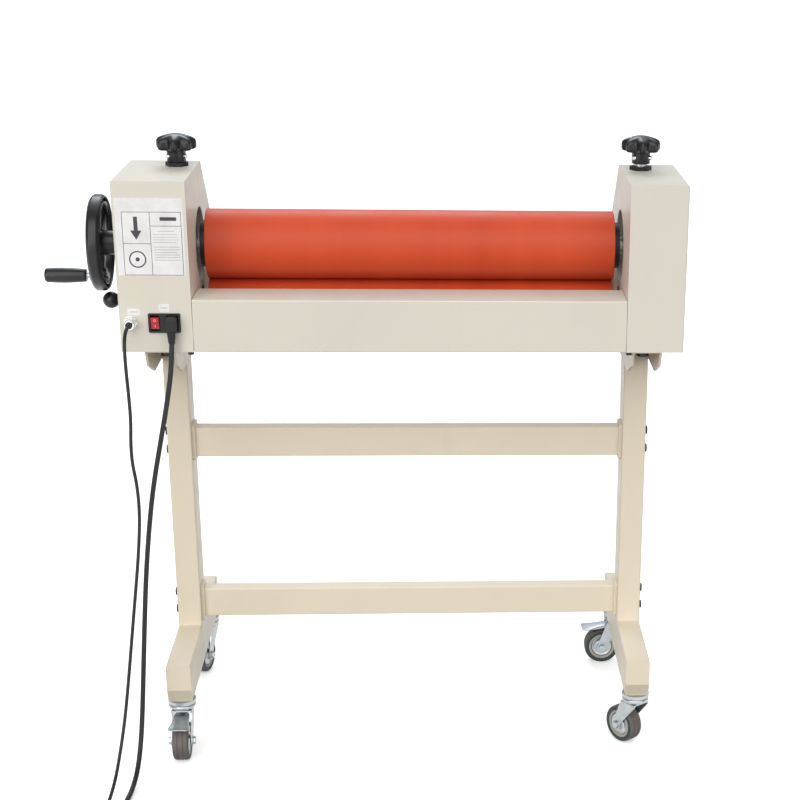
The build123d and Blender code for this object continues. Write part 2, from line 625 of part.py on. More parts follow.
def caster_fork(brake):
    """The fork with its ball-race ring, axle bolt and, where a brake is fitted, the brake's pivot pin."""
    width = FORK_GAP + FORK_SHEET
    fork = rod("Z", 22, CROWN[1], RACE_TOP, 0, 0) + block(-15, 17, -width, width, *CROWN)
    fork += fork_cheek(FORK_GAP) + fork_cheek(-width)
    fork -= rod("Z", KINGPIN_R + RUNNING, 79, 94, 0, 0)
    fork -= rod("Y", AXLE_R, -25, 25, TRAIL, WHEEL_R)
    axle = rod("Y", AXLE_R, -width - 1, width + 1, TRAIL, WHEEL_R)
    for side in (-1, 1):
        axle += rod("Y", 7, side * width, side * (width + 4.5), TRAIL, WHEEL_R)
    parts = [fork, axle]
    if brake:
        parts[0] = fork - rod("Y", BRAKE_PIN, -25, 25, *BRAKE_PIVOT)
        parts.append(rod("Y", BRAKE_PIN, -width, width, *BRAKE_PIVOT))
    return parts


def caster_wheel():
    """A rubber tyre on a pressed hub."""
    tyre = rod("Y", WHEEL_R, -TYRE_WIDTH / 2, TYRE_WIDTH / 2, TRAIL, WHEEL_R)
    tyre = fillet(tyre.edges(), 4)
    tyre -= rod("Y", 21, -20, 20, TRAIL, WHEEL_R)
    hub = rod("Y", 21, -11, 11, TRAIL, WHEEL_R) + rod("Y", 9, -14.4, 14.4, TRAIL, WHEEL_R)
    return tyre, hub - rod("Y", AXLE_R + RUNNING, -20, 20, TRAIL, WHEEL_R)


def caster_brake():
    """A foot lever over the wheel, with the shoe that presses on the tyre."""
    lever_half = FORK_GAP - 1.2
    outline = [(8, 71), (8, 76), (14, 77), (40, 71.5), (58, 66.5), (58, 64), (40, 68.2), (20, 70)]
    points = [Vector(u, -lever_half, z) for u, z in outline]
    lever = extrude(make_face(Polyline(*points, close=True)), amount=2 * lever_half, dir=(0, 1, 0))
    lever += block(38, 45, -9, 9, 63.6, 69)
    paddle = Box(18, 36, 2.8)
    lever += Pos(55, 0, 66.6) * Rot(0, 12, 0) * fillet(paddle.edges().filter_by(Axis.Z), 4)
    return [lever - rod("Y", BRAKE_PIN + RUNNING, -25, 25, *BRAKE_PIVOT)]


def tube(route, radius):
    """A round cord along straight runs joined by arcs as large as the runs allow."""
    points = [Vector(*p) for p in route]
    radii = []
    for before, corner, after in zip(points, points[1:], points[2:]):
        turn = math.radians((corner - before).get_angle(after - corner))
        shorter = min((corner - before).length, (after - corner).length)
        radii.append(0.45 * shorter / math.tan(turn / 2))
    path = FilletPolyline(*points, radius=radii)
    section = Plane(path @ 0, z_dir=path % 0) * Circle(radius)
    solid = sweep(section, path=path)
    print("tightest cord radius", round(min(radii), 1), "length", round(path.length),
          "volume ratio", round(solid.volume / (math.pi * radius ** 2 * path.length), 4))
    return solid


def coil(place, radius):
    """The outer shape of a neat round coil on the floor."""
    x, y, mean, half_width = place
    top = 0.1 + 4 * radius
    ring = rod("Z", mean + half_width, 0.1, top, x, y)
    return ring - rod("Z", mean - half_width, 0, top + 1, x, y)


def make_power_cord():
    """The angled inlet connector, the cord, its coil and its mains plug."""
    x, y, z = POWER_ROUTE[0]
    connector = block(x - 7, x + 9, -22, 8, z + 19, z + 41)
    connector = fillet(connector.edges().filter_by(lambda e: e.center().Y < -1), 2.5)
    connector += Pos(x, y, z + RELIEF / 2) * Cone(4.6, 6.2, RELIEF)
    save("iec_connector", connector)
    save("power_cord", tube(POWER_ROUTE, POWER_RADIUS))
    save("power_cord_coil", coil(POWER_COIL, POWER_RADIUS))
    x, y, mean = POWER_COIL[:3]
    low = y - mean - POWER_COIL[3] / 2
    start = x + 24
    height = 3 * POWER_RADIUS
    face = start + RELIEF - 2
    body = block(face, face + PLUG[0], low - PLUG[1] / 2, low + PLUG[1] / 2, 0.2, PLUG[2])
    body = fillet(body.edges(), 5)
    body += Pos(start + RELIEF / 2, low, height) * Rot(0, 90, 0) * Cone(4.5, 7, RELIEF)
    pins = face + PLUG[0]
    for offset in (-PLUG_PIN_OFFSET, PLUG_PIN_OFFSET):
        body += rod("X", PLUG_PIN, pins - 2, pins + PLUG_PIN_LENGTH, low + offset, height)
    save("mains_plug", body)


def make_foot_switch():
    """The round connector, the cable, its coil and the foot switch with its treadle."""
    x, z = SOCKET
    front = PEDAL_ROUTE[0][1]
    connector = rod("Y", 9.2, -22, -4, x, z) + rod("Y", 6, -4, 6, x, z) + rod("Y", 6, front, -22, x, z)
    save("pedal_connector", connector)
    save("pedal_cable", tube(PEDAL_ROUTE, PEDAL_CABLE_RADIUS))
    save("pedal_cable_coil", coil(PEDAL_COIL, PEDAL_CABLE_RADIUS))
    x = PEDAL_COIL[0] + PEDAL_COIL[2] + PEDAL_COIL[3] - PEDAL_CABLE_RADIUS
    back = PEDAL_COIL[1] - 46
    half = PEDAL_WIDTH / 2
    pivot = back - 24
    base = block(x - half, x + half, back - PEDAL_LENGTH, back, 0.2, 8)
    base += block(x - half, x + half, back - 34, back, 8, 22)
    base = fillet(base.edges().filter_by(Axis.Z), 6)
    for side in (-1, 1):
        base += block(x + side * (half - 4), x + side * half, pivot - 10, pivot + 10, 20, 32)
    base += rod("X", PEDAL_PIN, x - half + 3, x + half - 3, pivot, PEDAL_PIVOT_Z)
    base += rod("Y", 4.5, back - 2, back + 22, x, 3 * PEDAL_CABLE_RADIUS)
    save("pedal_base", base)
    tip = back - PEDAL_LENGTH + 4
    outline = [
        (back - 14, 31), (back - 34, 31.5), (tip, 27), (tip, 22),
        (back - 34, 25.5), (back - 29, 23.5), (back - 14, 23.5),
    ]
    treadle = along_x(outline, x - half + 5, x + half - 5)
    bore = rod("X", PEDAL_PIN + RUNNING, x - half, x + half, pivot, PEDAL_PIVOT_Z)
    save("pedal_treadle", treadle - bore)


def main():
    """Write every sub-part."""
    os.makedirs("parts", exist_ok=True)
    make_cabinets()
    make_side_plates()
    make_base_plates()
    make_covers()
    make_guides()
    make_bearings()
    make_rollers()
    make_drive()
    make_knobs()
    make_handwheel()
    make_clutch()
    make_controls()
    make_feet_and_legs()
    make_crossbars()
    make_stand_bolts()
    make_casters()
    make_power_cord()
    make_foot_switch()


main()
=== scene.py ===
import json
import math
import random

import bmesh
import bpy
from mathutils import Matrix, Vector


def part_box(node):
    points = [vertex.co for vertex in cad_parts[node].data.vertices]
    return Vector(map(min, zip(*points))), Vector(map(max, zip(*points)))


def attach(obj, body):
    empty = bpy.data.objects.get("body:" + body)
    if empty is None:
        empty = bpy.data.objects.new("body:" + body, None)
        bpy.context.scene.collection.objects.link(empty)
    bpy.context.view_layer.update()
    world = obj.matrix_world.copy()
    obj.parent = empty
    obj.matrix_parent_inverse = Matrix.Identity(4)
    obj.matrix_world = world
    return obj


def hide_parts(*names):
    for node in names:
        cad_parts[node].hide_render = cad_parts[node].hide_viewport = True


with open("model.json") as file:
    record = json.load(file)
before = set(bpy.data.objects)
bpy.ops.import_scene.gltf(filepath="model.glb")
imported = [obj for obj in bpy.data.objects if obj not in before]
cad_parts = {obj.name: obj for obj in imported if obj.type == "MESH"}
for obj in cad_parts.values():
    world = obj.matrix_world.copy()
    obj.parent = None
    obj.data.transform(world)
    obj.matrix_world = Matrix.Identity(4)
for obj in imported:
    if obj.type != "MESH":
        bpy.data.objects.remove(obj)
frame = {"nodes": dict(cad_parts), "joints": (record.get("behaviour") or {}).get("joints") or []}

# A cold roll laminator on a castered stand. Lengths are in metres; millimetres carry the factor MM.
MM = 0.001
NODES = frame["nodes"]
JOINTS = {joint["name"]: joint for joint in frame["joints"]}
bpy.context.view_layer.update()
CASTERS = (("front_left", True), ("front_right", False), ("rear_left", False), ("rear_right", True))
RANDOM = random.Random(7)


def layout_origin():
    """The machine's own layout starts at the middle of the rollers, on the cabinets' front plane."""
    low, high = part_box("upper_roller_sleeve")
    return Vector(((low.x + high.x) / 2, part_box("front_cover")[0].y, 0))


ORIGIN = layout_origin()


def at(x, y, z):
    """A point of the machine's layout, given in metres, in the row frame."""
    return ORIGIN + Vector((x, y, z))


def joint_place(name):
    """A joint's position and axis."""
    joint = JOINTS[name]
    return Vector(joint["pos_m"]), Vector(joint["axis"]).normalized()


# ---------------------------------------------------------------- camera

SENSOR = 36
FOCAL = 82.224
SHIFT = (-0.22162, 0.20999)
FAR_CLIP = 200
CAMERA_YAW = -4.75
CAMERA_PITCH = 90 - 21.258
CAMERA_ROLL = 1.277
CAMERA_PLACE = (0.034565, -2.805393, 1.424922)


def make_camera():
    """A long lens from the front, a little above the rollers."""
    camera = bpy.data.cameras.new("camera")
    camera.sensor_width = SENSOR
    camera.lens = FOCAL
    camera.shift_x, camera.shift_y = SHIFT
    camera.clip_end = FAR_CLIP
    holder = bpy.data.objects.new("camera", camera)
    bpy.context.scene.collection.objects.link(holder)
    yaw = Matrix.Rotation(math.radians(CAMERA_YAW), 4, "Z")
    pitch = Matrix.Rotation(math.radians(CAMERA_PITCH), 4, "X")
    roll = Matrix.Rotation(math.radians(CAMERA_ROLL), 4, "Z")
    holder.matrix_world = Matrix.Translation(at(*CAMERA_PLACE)) @ yaw @ pitch @ roll
    bpy.context.scene.camera = holder


# ---------------------------------------------------------------- materials

def new_tree(name):
    """A material with a Principled shader; returns the material, its node tree and the shader."""
    material = bpy.data.materials.new(name)
    material.use_nodes = True
    tree = material.node_tree
    return material, tree, tree.nodes["Principled BSDF"]


def object_vector(tree, stretch=(1, 1, 1)):
    """Object coordinates, scaled along each axis."""
    coordinates = tree.nodes.new("ShaderNodeTexCoord")
    mapping = tree.nodes.new("ShaderNodeMapping")
    mapping.inputs["Scale"].default_value = stretch
    tree.links.new(coordinates.outputs["Object"], mapping.inputs["Vector"])
    return mapping.outputs["Vector"]


def noise(tree, vector, scale, detail=4, roughness=0.5):
    """Fractal noise from 0 to 1."""
    node = tree.nodes.new("ShaderNodeTexNoise")
    node.inputs["Scale"].default_value = scale
    node.inputs["Detail"].default_value = detail
    node.inputs["Roughness"].default_value = roughness
    tree.links.new(vector, node.inputs["Vector"])
    return node.outputs["Fac"]


def ramp(tree, value, stops):
    """A colour ramp with (position, colour) stops."""
    node = tree.nodes.new("ShaderNodeValToRGB")
    elements = node.color_ramp.elements
    while len(elements) < len(stops):
        elements.new(0.5)
    for element, (position, colour) in zip(elements, stops):
        element.position = position
        element.color = (*colour, 1)
    tree.links.new(value, node.inputs["Fac"])
    return node.outputs["Color"]


def span(tree, value, low, high, start=0.3, end=0.7):
    """Map a value between start and end to low and high."""
    node = tree.nodes.new("ShaderNodeMapRange")
    node.inputs["From Min"].default_value = start
    node.inputs["From Max"].default_value = end
    node.inputs["To Min"].default_value = low
    node.inputs["To Max"].default_value = high
    tree.links.new(value, node.inputs["Value"])
    return node.outputs["Result"]


def mixed(tree, factor, first, second):
    """Blend two colours, either of which may be a socket or a constant."""
    node = tree.nodes.new("ShaderNodeMix")
    node.data_type = "RGBA"
    tree.links.new(factor, node.inputs["Factor"])
    for socket, colour in ((node.inputs[6], first), (node.inputs[7], second)):
        if isinstance(colour, tuple):
            socket.default_value = (*colour, 1)
        else:
            tree.links.new(colour, socket)
    return node.outputs[2]


def bumped(tree, shader, heights):
    """Stack (height socket, distance in metres) bumps onto the shader's normal."""
    normal = None
    for height, distance in heights:
        bump = tree.nodes.new("ShaderNodeBump")
        bump.inputs["Strength"].default_value = 1
        bump.inputs["Distance"].default_value = distance
        tree.links.new(height, bump.inputs["Height"])
        if normal:
            tree.links.new(normal, bump.inputs["Normal"])
        normal = bump.outputs["Normal"]
    tree.links.new(normal, shader.inputs["Normal"])


def shade(colour, factor):
    """A lighter or darker copy of a colour."""
    return tuple(min(1, c * factor) for c in colour)


def powder_coat(name, colour, warm, soil):
    """Baked powder paint: orange peel, slow tint changes, dust specks and a little handling grime."""
    material, tree, shader = new_tree(name)
    vector = object_vector(tree)
    slow = noise(tree, vector, 3.5, 3)
    base = ramp(tree, slow, [(0.35, shade(colour, 0.965)), (0.55, colour), (0.75, warm)])
    specks = ramp(tree, noise(tree, vector, 420, 2), [(0.70, (0, 0, 0)), (0.78, (1, 1, 1))])
    base = mixed(tree, specks, base, shade(colour, 0.86))
    grime = ramp(tree, noise(tree, object_vector(tree, (1, 1, 0.35)), 16, 8, 0.7),
                 [(0.58, (0, 0, 0)), (0.80, (soil, soil, soil))])
    base = mixed(tree, grime, base, shade(colour, 0.72))
    tree.links.new(base, shader.inputs["Base Color"])
    tree.links.new(span(tree, noise(tree, vector, 28, 5), 0.36, 0.52), shader.inputs["Roughness"])
    shader.inputs["Specular IOR Level"].default_value = 0.45
    shader.inputs["Coat Weight"].default_value = 0.12
    shader.inputs["Coat Roughness"].default_value = 0.25
    bumped(tree, shader, [(noise(tree, vector, 650, 2), 0.00003), (noise(tree, vector, 45, 2), 0.00004)])
    return material


def silicone():
    """Ground silicone rubber: satin, with fine grinding rings, faint bands and a little dust."""
    material, tree, shader = new_tree("roller_silicone_look")
    vector = object_vector(tree)
    rings = noise(tree, object_vector(tree, (1, 0.02, 0.02)), 900, 3)
    bands = noise(tree, object_vector(tree, (1, 0.1, 0.1)), 14, 4)
    base = ramp(tree, bands, [
        (0.3, (0.50, 0.050, 0.012)), (0.5, (0.53, 0.057, 0.014)), (0.75, (0.56, 0.066, 0.018)),
    ])
    dust = ramp(tree, noise(tree, vector, 300, 6, 0.75), [(0.66, (0, 0, 0)), (0.80, (0.35, 0.35, 0.35))])
    base = mixed(tree, dust, base, (0.58, 0.12, 0.06))
    tree.links.new(base, shader.inputs["Base Color"])
    tree.links.new(span(tree, bands, 0.44, 0.56), shader.inputs["Roughness"])
    shader.inputs["Specular IOR Level"].default_value = 0.32
    bumped(tree, shader, [(rings, 0.00002), (noise(tree, vector, 60, 3), 0.00005)])
    return material


def metal(name, colour, roughness, grain, stretch=(1, 1, 1), tint=None, depth=0.00003):
    """Bare or plated metal: grain, patches of another tint and uneven polish."""
    material, tree, shader = new_tree(name)
    vector = object_vector(tree)
    patches = noise(tree, vector, 55, 6, 0.65)
    base = ramp(tree, patches, [
        (0.32, shade(colour, 0.82)), (0.52, colour), (0.72, tint or shade(colour, 1.08)),
    ])
    tree.links.new(base, shader.inputs["Base Color"])
    shader.inputs["Metallic"].default_value = 1
    lines = noise(tree, object_vector(tree, stretch), grain, 4, 0.6)
    tree.links.new(span(tree, lines, roughness * 0.75, roughness * 1.3), shader.inputs["Roughness"])
    bumped(tree, shader, [(lines, depth)])
    return material


def moulded(name, colour, roughness, grain=900, depth=0.00002, coat=0.0, light=1.35, subsurface=0.0):
    """Moulded plastic, phenolic or rubber: fine texture, slow sheen changes and dust in the low spots."""
    material, tree, shader = new_tree(name)
    vector = object_vector(tree)
    base = ramp(tree, noise(tree, vector, 40, 5, 0.6), [
        (0.3, shade(colour, 0.85)), (0.6, colour), (0.85, shade(colour, light)),
    ])
    dust = ramp(tree, noise(tree, vector, 700, 5, 0.7), [(0.68, (0, 0, 0)), (0.80, (0.05, 0.05, 0.05))])
    base = mixed(tree, dust, base, (0.30, 0.29, 0.27))
    tree.links.new(base, shader.inputs["Base Color"])
    wear = span(tree, noise(tree, vector, 120, 4), roughness * 0.85, roughness * 1.2)
    tree.links.new(wear, shader.inputs["Roughness"])
    shader.inputs["Coat Weight"].default_value = coat
    shader.inputs["Coat Roughness"].default_value = 0.16
    shader.inputs["Specular IOR Level"].default_value = 0.35
    shader.inputs["Subsurface Weight"].default_value = subsurface
    bumped(tree, shader, [(noise(tree, vector, grain, 3), depth)])
    return material


def make_materials():
    """One look for each of the record's slots, and a few for small pieces."""
    ivory = (0.655, 0.622, 0.548)
    cream = (0.715, 0.637, 0.508)
    return {
        "cabinet_coat": powder_coat("cabinet_coat_look", ivory, (0.662, 0.622, 0.530), 0.10),
        "stand_coat": powder_coat("stand_coat_look", cream, (0.702, 0.620, 0.482), 0.22),
        "roller_silicone": silicone(),
        "turned_steel": metal("turned_steel_look", (0.56, 0.55, 0.53), 0.30, 700, (1, 0.05, 0.05)),
        "cast_block": metal("cast_block_look", (0.028, 0.028, 0.030), 0.62, 500, depth=0.0001),
        "zinc_plate": metal(
            "zinc_plate_look", (0.44, 0.475, 0.50), 0.36, 420, (1, 1, 0.3), (0.52, 0.52, 0.46)),
        "black_steel": metal("black_steel_look", (0.035, 0.036, 0.04), 0.42, 600),
        "knob_black": moulded("knob_black_look", (0.0045, 0.0050, 0.0070), 0.34, 300, 0.00001, 0.15),
        "tyre_rubber": moulded("tyre_rubber_look", (0.135, 0.118, 0.110), 0.62, 800, 0.00006),
        "black_plastic": moulded("black_plastic_look", (0.0075, 0.0075, 0.0085), 0.42, 1200, 0.00003),
        "rocker_red": moulded(
            "rocker_red_look", (0.50, 0.006, 0.008), 0.22, 500, 0.00001, 0.4, subsurface=0.1),
        "cord_sheath": moulded("cord_sheath_look", (0.013, 0.014, 0.018), 0.46, 1500, 0.00003),
        "chrome_ring": metal("chrome_ring_look", (0.80, 0.80, 0.80), 0.13, 900, depth=0.00001),
        "gear_housing": metal("gear_housing_look", (0.30, 0.31, 0.32), 0.5, 500, depth=0.0001),
        "tyre_side": moulded("tyre_side_look", (0.028, 0.055, 0.062), 0.55, 900, 0.00004),
        "tyre_inner": moulded("tyre_inner_look", (0.42, 0.40, 0.34), 0.55, 900, 0.00004, light=1.1),
        "label_white": moulded(
            "label_white_look", (0.80, 0.79, 0.80), 0.35, 200, 0.00001, 0.2, light=1.02),
        "label_ink": moulded("label_ink_look", (0.055, 0.055, 0.065), 0.5, 600, 0.00001),
        "label_grey": moulded("label_grey_look", (0.50, 0.49, 0.50), 0.5, 600, 0.00001, light=1.05),
    }


# ---------------------------------------------------------------- mesh helpers

def link_piece(name, mesh, material, body, sharp=35):
    """Put a finished mesh in the scene, smooth apart from its sharp edges, riding on a body."""
    for polygon in mesh.polygons:
        polygon.use_smooth = True
    mesh.set_sharp_from_angle(angle=math.radians(sharp))
    mesh.materials.append(MATERIALS[material])
    made = bpy.data.objects.new(name, mesh)
    bpy.context.scene.collection.objects.link(made)
    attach(made, body)
    return made


def mesh_of(name, vertices, faces):
    """A mesh with its doubled points merged and its faces turned outwards."""
    mesh = bpy.data.meshes.new(name)
    mesh.from_pydata([tuple(v) for v in vertices], [], faces)
    work = bmesh.new()
    work.from_mesh(mesh)
    bmesh.ops.remove_doubles(work, verts=work.verts, dist=1e-7)
    bmesh.ops.dissolve_degenerate(work, edges=work.edges, dist=1e-7)
    bmesh.ops.recalc_face_normals(work, faces=work.faces)
    work.to_mesh(mesh)
    work.free()
    return mesh


def frame_along(origin, axis, side=Vector((0, 0, 1))):
    """A matrix whose X is the axis, and whose Z is as near to side as it can be."""
    x = Vector(axis).normalized()
    y = side.cross(x)
    if y.length < 1e-6:
        y = Vector((0, 1, 0)).cross(x)
    y.normalize()
    z = x.cross(y)
    matrix = Matrix((x, y, z)).transposed().to_4x4()
    return Matrix.Translation(origin) @ matrix


def softened(points, radius, closed=False, steps=4):
    """The same outline with each corner replaced by a small curve."""
    result = []
    count = len(points)
    for index, corner in enumerate(points):
        if not closed and index in (0, count - 1):
            result.append(tuple(corner))
            continue
        here = Vector(corner)
        before = Vector(points[index - 1])
        after = Vector(points[(index + 1) % count])
        start = here + (before - here).normalized() * min(radius, (before - here).length * 0.45)
        end = here + (after - here).normalized() * min(radius, (after - here).length * 0.45)
        for step in range(steps + 1):
            t = step / steps
            result.append(tuple(start * (1 - t) ** 2 + here * 2 * t * (1 - t) + end * t ** 2))
    return result


def lathe_data(place, profile, closed, segments, wave=None):
    """A profile of (along, radius) points, in millimetres, turned about a frame's X: vertices and faces."""
    vertices = []
    for along, radius in profile:
        for segment in range(segments):
            angle = 2 * math.pi * segment / segments
            reach = radius + (wave(along, radius, angle) if wave else 0)
            point = Vector((along, reach * math.cos(angle), reach * math.sin(angle))) * MM
            vertices.append(place @ point)
    faces = []
    rows = len(profile)
    for row in range(rows if closed else rows - 1):
        low = row * segments
        high = ((row + 1) % rows) * segments
        for segment in range(segments):
            after = (segment + 1) % segments
            faces.append((low + segment, low + after, high + after, high + segment))
    return vertices, faces


def gather(parts):
    """Join (vertices, faces) pairs into one pair."""
    vertices = []
    faces = []
    for part_vertices, part_faces in parts:
        shift = len(vertices)
        vertices += part_vertices
        faces += [tuple(index + shift for index in face) for face in part_faces]
    return vertices, faces


def lathe(name, place, profile, material, body, closed=False, segments=96, wave=None, sharp=35):
    """One turned piece."""
    vertices, faces = lathe_data(place, profile, closed, segments, wave)
    return link_piece(name, mesh_of(name, vertices, faces), material, body, sharp)


def prism_data(place, outline, start, end):
    """An outline of (y, z) points, in millimetres, pushed along a frame's X."""
    count = len(outline)
    vertices = [place @ (Vector((x, y, z)) * MM) for x in (start, end) for y, z in outline]
    faces = [tuple(range(count))[::-1], tuple(range(count, 2 * count))]
    for index in range(count):
        after = (index + 1) % count
        faces.append((index, after, after + count, index + count))
    return vertices, faces


def box_data(low, high):
    """A box between two corners in metres."""
    corners = [Vector((x, y, z)) for x in (low.x, high.x) for y in (low.y, high.y) for z in (low.z, high.z)]
    faces = [(0, 1, 3, 2), (4, 6, 7, 5), (0, 4, 5, 1), (2, 3, 7, 6), (0, 2, 6, 4), (1, 5, 7, 3)]
    return corners, faces


def bevel(piece, width, segments=2, angle=40):
    """Round a piece's sharp edges."""
    modifier = piece.modifiers.new("edges", "BEVEL")
    modifier.width = width
    modifier.segments = segments
    modifier.limit_method = "ANGLE"
    modifier.angle_limit = math.radians(angle)
    modifier.harden_normals = True


# ---------------------------------------------------------------- cords

POWER_POINTS = [
    (-0.369, -0.014, 0.712), (-0.3705, -0.017, 0.687), (-0.374, -0.022, 0.655), (-0.383, -0.026, 0.607),
    (-0.395, -0.029, 0.551), (-0.408, -0.032, 0.490), (-0.419, -0.034, 0.420), (-0.429, -0.038, 0.335),
    (-0.437, -0.042, 0.240), (-0.443, -0.048, 0.160), (-0.447, -0.058, 0.098), (-0.450, -0.076, 0.052),
    (-0.453, -0.105, 0.020), (-0.457, -0.144, 0.006), (-0.462, -0.186, 0.0042), (-0.465, -0.238, 0.0042),
]
PEDAL_POINTS = [
    (-0.431, -0.034, 0.7426), (-0.4315, -0.047, 0.7415), (-0.432, -0.060, 0.7355), (-0.432, -0.0695, 0.724),
    (-0.4315, -0.074, 0.706), (-0.431, -0.075, 0.680), (-0.430, -0.073, 0.645), (-0.430, -0.070, 0.605),
    (-0.433, -0.068, 0.568), (-0.433, -0.067, 0.535), (-0.428, -0.066, 0.500), (-0.427, -0.066, 0.450),
    (-0.433, -0.068, 0.385), (-0.443, -0.071, 0.310), (-0.453, -0.075, 0.235), (-0.462, -0.080, 0.165),
    (-0.470, -0.090, 0.105), (-0.477, -0.109, 0.060), (-0.482, -0.139, 0.027), (-0.487, -0.176, 0.008),
    (-0.491, -0.214, 0.003), (-0.4935, -0.247, 0.003),
]
POINTS_PER_TURN = 16
POWER_DIAMETER = 0.008
POWER_TURNS = 3.25
PEDAL_DIAMETER = 0.0055
PEDAL_TURNS = 6


def coil_points(centre, outer, diameter, turns, start, sense):
    """Two layers of a round coil: spiralling in on the floor, up inside, and out again on top.

    Each turn lies one diameter beside the last. start is the first angle and sense is 1 anticlockwise.
    """
    climb = 0.2
    inward = (turns - climb) / 2
    radius_in = outer - diameter * inward
    points = []
    count = round(turns * POINTS_PER_TURN)
    fit = 1 / math.cos(math.pi / POINTS_PER_TURN) ** 0.7
    for index in range(1, count + 1):
        turn = turns * index / count
        rise = min(1, max(0, (turn - inward) / climb))
        rise = rise * rise * (3 - 2 * rise)
        if turn < inward:
            radius = outer - diameter * turn
        else:
            radius = radius_in + diameter * max(0, turn - inward - climb)
        angle = start + sense * 2 * math.pi * turn
        height = diameter * (0.52 + 1.02 * rise)
        flat = Vector((math.cos(angle), math.sin(angle), 0)) * radius * fit
        points.append(centre + flat + Vector((0, 0, height)))
    return points


def cord_curve(name, points, radius, body):
    """A round cord whose control points are a route and then the turns of its coil."""
    curve = bpy.data.curves.new(name, "CURVE")
    curve.dimensions = "3D"
    curve.bevel_depth = radius
    curve.bevel_resolution = 6
    curve.use_fill_caps = True
    spline = curve.splines.new("NURBS")
    spline.points.add(len(points) - 1)
    for control, point in zip(spline.points, points):
        control.co = (*point, 1)
    spline.order_u = 3
    spline.use_endpoint_u = True
    spline.resolution_u = 6
    curve.materials.append(MATERIALS["cord_sheath"])
    made = bpy.data.objects.new(name, curve)
    bpy.context.scene.collection.objects.link(made)
    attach(made, body)
    return made


def make_power_cord():
    """The mains lead: out of the angled connector, down to the floor, forward, coiled, and its plug."""
    diameter = POWER_DIAMETER
    route = [at(*p) for p in POWER_POINTS]
    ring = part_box("power_cord_coil")
    centre = Vector(((ring[0].x + ring[1].x) / 2, (ring[0].y + ring[1].y) / 2, 0))
    outer = (ring[1].x - ring[0].x) / 2 - diameter / 2
    turns = coil_points(centre, outer, diameter, POWER_TURNS, math.pi, 1)
    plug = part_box("mains_plug")
    leaving = turns[-1]
    steps = (0.012, plug[0].x + 0.004 - leaving.x)
    tail = [Vector((leaving.x + step, leaving.y, leaving.z)) for step in steps]
    lead = cord_curve("power_lead", route + turns + tail, diameter / 2, "frame")
    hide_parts("power_cord", "power_cord_coil")


def make_pedal_cord():
    """The foot switch's cable, from the round connector to the foot switch on the floor."""
    diameter = PEDAL_DIAMETER
    route = [at(*p) for p in PEDAL_POINTS]
    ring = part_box("pedal_cable_coil")
    centre = Vector(((ring[0].x + ring[1].x) / 2, (ring[0].y + ring[1].y) / 2, 0))
    outer = (ring[1].x - ring[0].x) / 2 - diameter / 2
    turns = coil_points(centre, outer, diameter, PEDAL_TURNS, 0, -1)
    leaving = turns[-1]
    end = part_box("pedal_base")[1].y - 0.004
    tail = [Vector((leaving.x, leaving.y - step, leaving.z)) for step in (0.009, leaving.y - end)]
    cable = cord_curve("pedal_lead", route + turns + tail, diameter / 2, "frame")
    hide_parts("pedal_cable", "pedal_cable_coil")


# ---------------------------------------------------------------- knobs and handwheel

KNOB_PROFILE = [
    (0.0, 25.0), (0.14, 24.9), (0.28, 24.5), (0.42, 23.7), (0.56, 22.5), (0.70, 20.9), (0.82, 19.1),
    (0.91, 17.2), (0.97, 14.8), (1.0, 12.0), (1.0, 8.5), (1.0, 5.0), (0.98, 2.8), (0.93, 1.2),
    (0.85, 0.4), (0.76, 0.8), (0.68, 1.3), (0.60, 0.9), (0.56, -0.8),
]
KNOB_MEAN = 28.0
KNOB_LOBE = 4.0
KNOB_LOBES = 7
KNOB_HEIGHT = 25
SET_SCREW_ANGLES = (-135, -25)
SET_SCREW_DROP = 9
KNOB_NECK = [(-3.2, 15.0), (-5.5, 14.8), (-17.6, 14.8), (-18.6, 14.5), (-19.0, 13.5), (-19.0, 10.4)]


def make_star_knobs():
    """Seven-lobed phenolic knobs with a raised cap, a plain neck and two set screws."""
    segments = KNOB_LOBES * 28
    for side in ("left", "right"):
        node = side + "_star_knob"
        axis, _ = joint_place(side + "_knob_turn")
        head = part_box(node)[1].z - KNOB_HEIGHT * MM
        place = frame_along(Vector((axis.x, axis.y, head)), (0, 0, 1), Vector((1, 0, 0)))
        profile = []
        shares = []
        for share, height in KNOB_PROFILE:
            profile.append((height, share * KNOB_MEAN))
            fade = min(1, max(0, (share - 0.42) / 0.55))
            shares.append(KNOB_LOBE * fade * fade * (3 - 2 * fade))
        profile += KNOB_NECK
        shares += [0] * len(KNOB_NECK)
        swell = dict(zip(profile, shares))
        vertices, faces = lathe_data(
            place, profile, False, segments, lambda a, r, t: swell[(a, r)] * math.cos(KNOB_LOBES * t))
        body = side + "_knob"
        mesh = mesh_of(node, vertices, faces)
        knob = link_piece(body + "_head", mesh, "knob_black", body, 50)
        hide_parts(node)
        screws = []
        for angle in SET_SCREW_ANGLES:
            turn = math.radians(angle)
            out = Vector((math.cos(turn), math.sin(turn), 0))
            seat = frame_along(Vector((axis.x, axis.y, head - SET_SCREW_DROP * MM)), out)
            outline = softened([
                (14.5, 3.4), (17.6, 3.4), (18.4, 2.6), (18.4, 1.9), (16.9, 1.7), (16.9, 0),
            ], 0.3)
            screws.append(lathe_data(seat, outline, False, 32))
        vertices, faces = gather(screws)
        screw_mesh = mesh_of("set_screws", vertices, faces)
        link_piece(body + "_set_screws", screw_mesh, "chrome_ring", body, 30)


ARM_SECTIONS = [
    (15, 15, 6.0, 1), (24, 12.5, 5.4, 1), (36, 10.5, 4.8, 0.4),
    (50, 9.6, 4.5, 0), (60, 11.5, 5.0, 0), (66, 14, 5.6, 0),
]
WHEEL_INSET = 12
ARMS = 3


